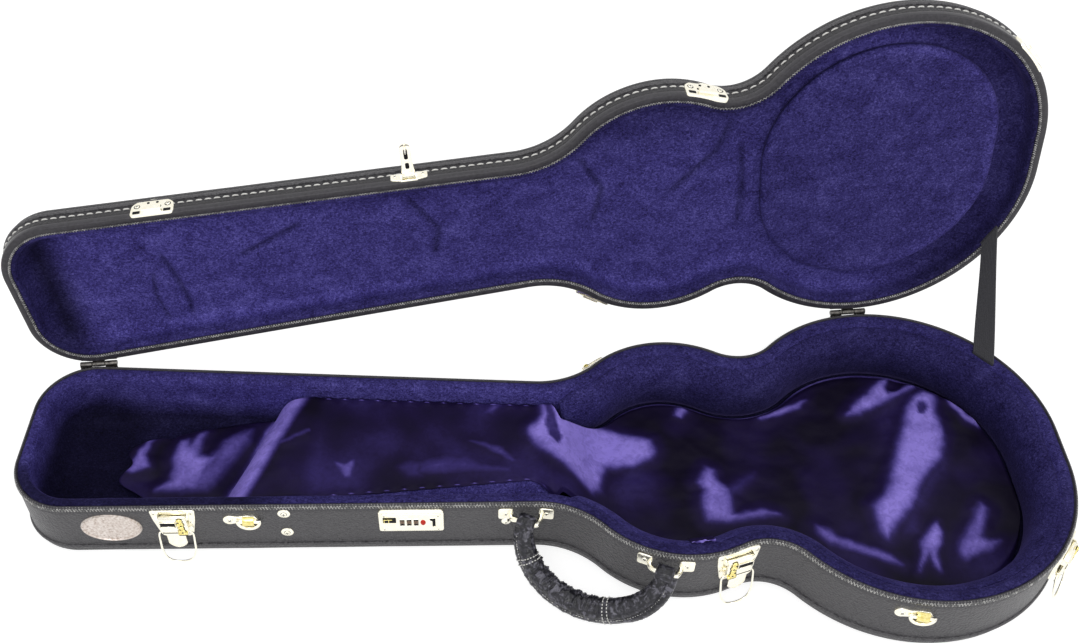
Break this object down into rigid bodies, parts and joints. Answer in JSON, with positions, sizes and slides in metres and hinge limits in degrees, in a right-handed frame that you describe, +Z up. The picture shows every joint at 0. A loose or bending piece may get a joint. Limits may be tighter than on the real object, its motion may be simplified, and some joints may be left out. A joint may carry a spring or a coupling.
{
  "type": "guitar case",
  "caption": "Open hardshell case shaped to a single-cutaway guitar, with plush lining, satin cover, draw latches, combination lock, hinged lid and carrying handle.",
  "frame": {"origin": "on the underside of the base, at half the case length on the base's centre line", "axes": "+X along the case towards the tail (lower bout), -Y towards the front with the handle and the latches, +Z up, out of the base"},
  "size_m": [1.1018, 0.4516, 0.4562],
  "materials": {
    "tolex": "black pebbled vinyl over plywood",
    "binding": "black vinyl piping",
    "plush": "deep blue-violet plush",
    "satin": "glossy violet satin",
    "gold": "polished pale gold plating",
    "leather": "black grained",
    "webbing": "woven black",
    "dial": "pale, printed digits",
    "slider": "black",
    "indicator": "red",
    "badge": "brushed, rose tinted"
  },
  "bodies": {
    "base": {"base_side_wall": "tolex", "base_bottom_panel": "tolex", "base_rim_binding": "binding", "base_lower_welt": "binding", "base_wall_lining": "plush", "base_floor_lining": "plush", "body_bolster": "plush", "neck_block": "plush", "satin_cover": "satin", "hinge_1_base_leaf": "gold", "hinge_1_pin": "gold", "hinge_2_base_leaf": "gold", "hinge_2_pin": "gold", "latch_1_plate": "gold", "latch_2_plate": "gold", "latch_3_plate": "gold", "latch_4_plate": "gold", "lock_plate": "gold", "lock_dial_shaft": "gold", "lock_indicator": "indicator", "handle_bracket_left": "gold", "handle_bracket_right": "gold", "strap_anchor_1_plate": "gold", "strap_anchor_2_plate": "gold", "badge_plate": "badge", "front_rivet_1": "gold", "front_rivet_2": "gold", "lid_stay_strap": "webbing"},
    "lid": {"lid_side_wall": "tolex", "lid_top_panel": "tolex", "lid_rim_binding": "binding", "lid_upper_welt": "binding", "lid_wall_lining": "plush", "lid_panel_lining": "plush", "lid_body_pad": "plush", "hinge_1_lid_leaf": "gold", "hinge_2_lid_leaf": "gold", "latch_1_catch": "gold", "latch_2_catch": "gold", "latch_3_catch": "gold", "latch_4_catch": "gold", "hasp_plate": "gold"},
    "latch_1_lever": {"latch_1_lever": "gold"},
    "latch_1_bail": {"latch_1_bail": "gold"},
    "latch_2_lever": {"latch_2_lever": "gold"},
    "latch_2_bail": {"latch_2_bail": "gold"},
    "latch_3_lever": {"latch_3_lever": "gold"},
    "latch_3_bail": {"latch_3_bail": "gold"},
    "latch_4_lever": {"latch_4_lever": "gold"},
    "latch_4_bail": {"latch_4_bail": "gold"},
    "lock_hasp": {"lock_hasp": "gold"},
    "lock_dial_1": {"lock_dial_1": "dial"},
    "lock_dial_2": {"lock_dial_2": "dial"},
    "lock_dial_3": {"lock_dial_3": "dial"},
    "lock_slider": {"lock_slider": "slider"},
    "handle": {"handle": "leather"},
    "strap_anchor_1_ring": {"strap_anchor_1_ring": "gold"},
    "strap_anchor_2_ring": {"strap_anchor_2_ring": "gold"}
  },
  "joints": [
    {"name": "lid_hinge", "type": "hinge", "parent": "base", "child": "lid", "pos_m": [-0.49449, 0.0958, 0.0813], "axis": [-0.9941, -0.1082, 0], "range_deg": [-94, 0], "deforming": ["lid_stay_strap"]},
    {"name": "latch_1_lever_hinge", "type": "hinge", "parent": "base", "child": "latch_1_lever", "pos_m": [-0.3692, -0.09618, 0.068], "axis": [0.9996, 0.0293, 0], "range_deg": [-100, 0]},
    {"name": "latch_1_bail_hinge", "type": "hinge", "parent": "latch_1_lever", "child": "latch_1_bail", "pos_m": [-0.3692, -0.09618, 0.046], "axis": [-0.9996, -0.0293, 0], "range_deg": [0, 165]},
    {"name": "latch_2_lever_hinge", "type": "hinge", "parent": "base", "child": "latch_2_lever", "pos_m": [0.19216, -0.13451, 0.068], "axis": [0.9448, 0.3276, 0], "range_deg": [-100, 0]},
    {"name": "latch_2_bail_hinge", "type": "hinge", "parent": "latch_2_lever", "child": "latch_2_bail", "pos_m": [0.19216, -0.13451, 0.046], "axis": [-0.9448, -0.3276, 0], "range_deg": [0, 165]},
    {"name": "latch_3_lever_hinge", "type": "hinge", "parent": "base", "child": "latch_3_lever", "pos_m": [0.51268, -0.12115, 0.068], "axis": [0.594, 0.8045, 0], "range_deg": [-100, 0]},
    {"name": "latch_3_bail_hinge", "type": "hinge", "parent": "latch_3_lever", "child": "latch_3_bail", "pos_m": [0.51268, -0.12115, 0.046], "axis": [-0.594, -0.8045, 0], "range_deg": [0, 165]},
    {"name": "latch_4_lever_hinge", "type": "hinge", "parent": "base", "child": "latch_4_lever", "pos_m": [0.06119, 0.11393, 0.068], "axis": [-0.7908, -0.6121, 0], "range_deg": [-100, 0]},
    {"name": "latch_4_bail_hinge", "type": "hinge", "parent": "latch_4_lever", "child": "latch_4_bail", "pos_m": [0.06119, 0.11393, 0.046], "axis": [0.7908, 0.6121, 0], "range_deg": [0, 165]},
    {"name": "hasp_hinge", "type": "hinge", "parent": "lid", "child": "lock_hasp", "pos_m": [-0.1362, 0.15641, 0.3053], "axis": [0.9904, 0.1134, 0.0789], "range_deg": [-60, 88]},
    {"name": "lock_dial_1_spin", "type": "hinge", "parent": "base", "child": "lock_dial_1", "pos_m": [-0.13961, -0.08615, 0.0575], "axis": [0.9996, 0.0293, 0], "continuous": true},
    {"name": "lock_dial_2_spin", "type": "hinge", "parent": "base", "child": "lock_dial_2", "pos_m": [-0.13262, -0.08594, 0.0575], "axis": [0.9996, 0.0293, 0], "continuous": true},
    {"name": "lock_dial_3_spin", "type": "hinge", "parent": "base", "child": "lock_dial_3", "pos_m": [-0.12562, -0.08574, 0.0575], "axis": [0.9996, 0.0293, 0], "continuous": true},
    {"name": "lock_slider_slide", "type": "slide", "parent": "base", "child": "lock_slider", "axis": [0.9996, 0.0293, 0], "range_m": [0, 0.004]},
    {"name": "handle_hinge", "type": "hinge", "parent": "base", "child": "handle", "pos_m": [0.05166, -0.12114, 0.065], "axis": [-0.9203, 0.3913, 0], "range_deg": [-23, 132]},
    {"name": "strap_ring_1_hinge", "type": "hinge", "parent": "base", "child": "strap_anchor_1_ring", "pos_m": [-0.29429, -0.09238, 0.059], "axis": [-0.9996, -0.0293, 0], "range_deg": [0, 150]},
    {"name": "strap_ring_2_hinge", "type": "hinge", "parent": "base", "child": "strap_anchor_2_ring", "pos_m": [0.35724, -0.18898, 0.059], "axis": [-0.9892, 0.1466, 0], "range_deg": [0, 150]}
  ]
}
